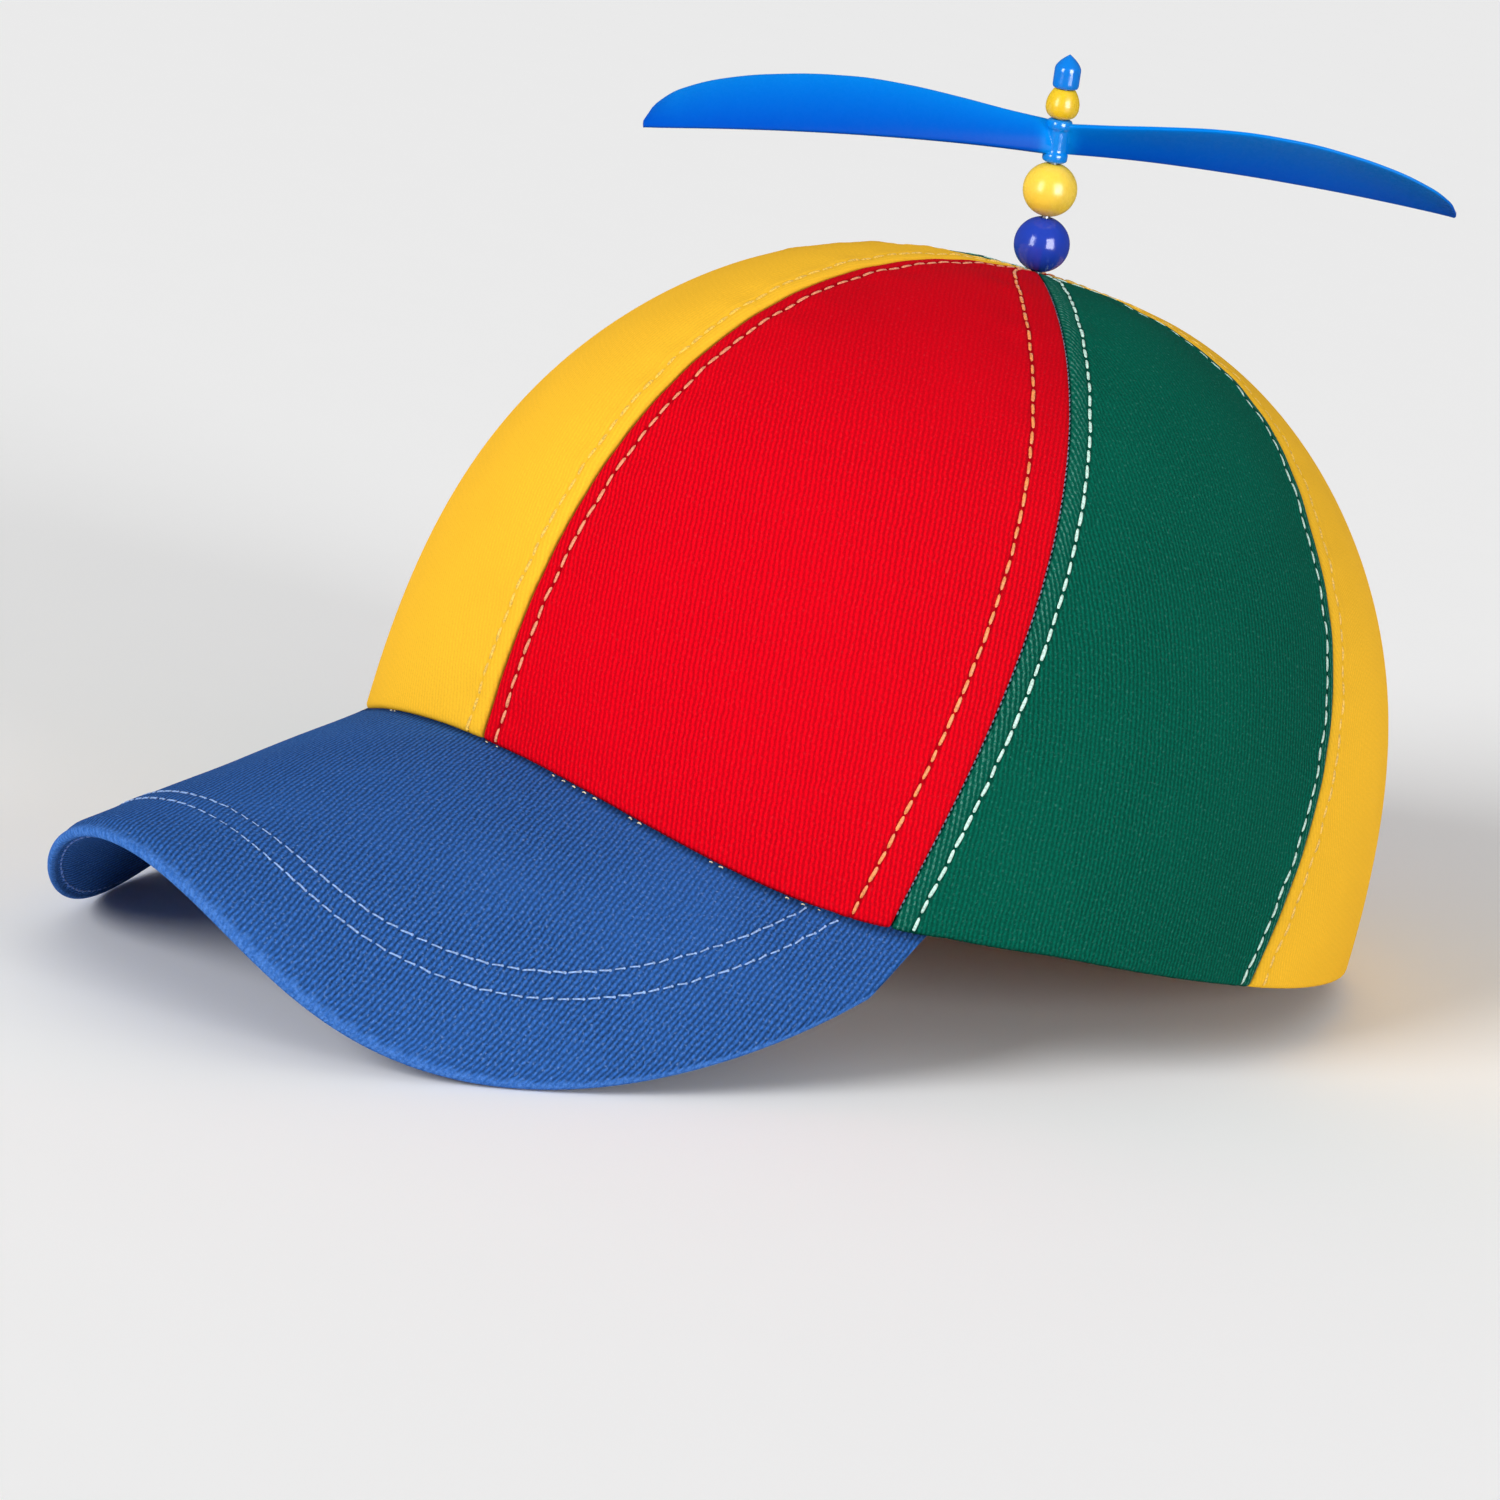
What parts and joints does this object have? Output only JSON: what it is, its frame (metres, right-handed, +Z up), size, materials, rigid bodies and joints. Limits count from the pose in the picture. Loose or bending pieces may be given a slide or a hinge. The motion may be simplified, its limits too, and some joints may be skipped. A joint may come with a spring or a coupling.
{
  "type": "propeller cap",
  "caption": "Cloth cap with a crown of coloured panels, a stiff arched visor and a small propeller that spins on a beaded spindle at the top.",
  "frame": {"origin": "on the floor that the cap rests on, under the middle of the whole cap", "axes": "+Z up from the floor, -Y the way the visor points, +X the wearer's left"},
  "size_m": [0.167, 0.283, 0.1636],
  "materials": {
    "red_twill": "cotton twill, matte",
    "green_twill": "cotton twill, matte",
    "yellow_twill": "cotton twill, matte",
    "blue_twill": "cotton twill, matte",
    "deep_blue_plastic": "gloss",
    "yellow_plastic": "gloss",
    "blue_plastic": "gloss",
    "steel": "plain"
  },
  "bodies": {
    "cap": {"visor": "blue_twill", "panel_front_left": "red_twill", "panel_side_left": "green_twill", "panel_back_left": "yellow_twill", "panel_front_right": "yellow_twill", "panel_side_right": "green_twill", "panel_back_right": "red_twill", "spindle": "steel", "bead_lower": "deep_blue_plastic", "bead_upper": "yellow_plastic", "bead_small": "yellow_plastic", "finial": "blue_plastic"},
    "rotor": {"propeller": "blue_plastic"}
  },
  "joints": [
    {"name": "propeller_spin", "type": "hinge", "parent": "cap", "child": "rotor", "pos_m": [0, 0.05586, 0.14382], "axis": [0, -0.0466, 0.9989], "continuous": true}
  ]
}
